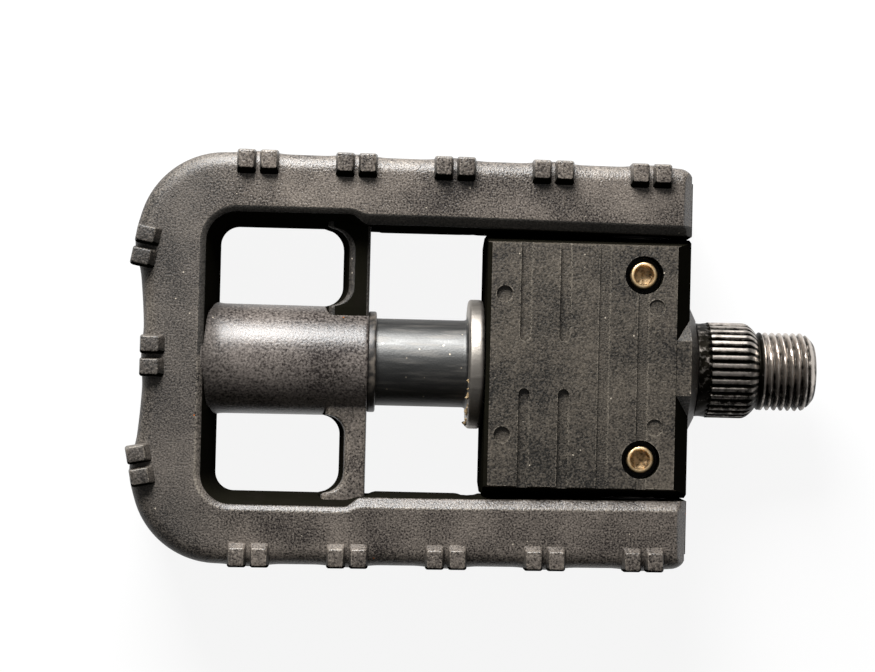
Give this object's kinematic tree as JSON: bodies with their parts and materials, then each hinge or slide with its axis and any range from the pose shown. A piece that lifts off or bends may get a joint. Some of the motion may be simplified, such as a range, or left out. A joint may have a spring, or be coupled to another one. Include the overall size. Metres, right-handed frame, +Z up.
{
  "type": "folding bicycle pedal",
  "caption": "Folding platform pedal: toothed U-shaped plastic frame hinged on a hub block that turns on a threaded steel spindle, held straight by a sprung steel sleeve.",
  "frame": {"origin": "on the spindle's axis at the shoulder of the serrated collar that meets the crank", "axes": "+X along the spindle into the crank, +Y to the rear of the bicycle, +Z up through the upper tread"},
  "size_m": [0.1244, 0.0746, 0.0272],
  "materials": {
    "frame_nylon": "black glass-filled nylon, fine moulded grain",
    "block_nylon": "black glass-filled nylon, fine moulded grain, worn edges",
    "spindle_steel": "turned steel, black oxide worn bright on the crests",
    "bright_steel": "ground bright steel",
    "sleeve_steel": "black-plated polished steel tube",
    "yellow_zinc": "yellow zinc-plated steel",
    "bronze": "sintered bronze",
    "seal_rubber": "moulded rubber",
    "cap_plastic": "black moulded plastic",
    "bush_acetal": "black acetal",
    "spring_steel": "oil-hardened spring steel"
  },
  "bodies": {
    "spindle": {"spindle": "spindle_steel", "spindle_washer": "bright_steel", "spindle_lock_nut": "bright_steel"},
    "hub": {"hub_block": "block_nylon", "inner_bush": "bronze", "outer_bush": "bronze", "shaft_seal": "seal_rubber", "end_cap": "cap_plastic", "hinge_pin_rear": "bright_steel", "hinge_pin_front": "bright_steel", "pin_screws": "yellow_zinc", "pin_nuts": "yellow_zinc"},
    "frame": {"pedal_frame": "frame_nylon", "hinge_bush_rear": "bush_acetal", "hinge_bush_front": "bush_acetal", "sleeve_bush": "bush_acetal", "spring_seat": "bright_steel"},
    "sleeve": {"lock_sleeve": "sleeve_steel", "sleeve_clip": "spring_steel", "sleeve_spring": "spring_steel"}
  },
  "joints": [
    {"name": "pedal_spin", "type": "hinge", "parent": "spindle", "child": "hub", "pos_m": [0, 0, 0], "axis": [1, 0, 0], "continuous": true},
    {"name": "frame_fold", "type": "hinge", "parent": "hub", "child": "frame", "pos_m": [-0.0218, 0, 0], "axis": [0, 1, 0], "range_deg": [0, 90]},
    {"name": "sleeve_pull", "type": "slide", "parent": "frame", "child": "sleeve", "axis": [-1, 0, 0], "range_m": [0, 0.0144], "deforming": ["sleeve_spring"]}
  ],
  "couplings": [
    {"joint": "sleeve_pull", "follows": "frame_fold", "m_per_rad": 0.0091673}
  ]
}
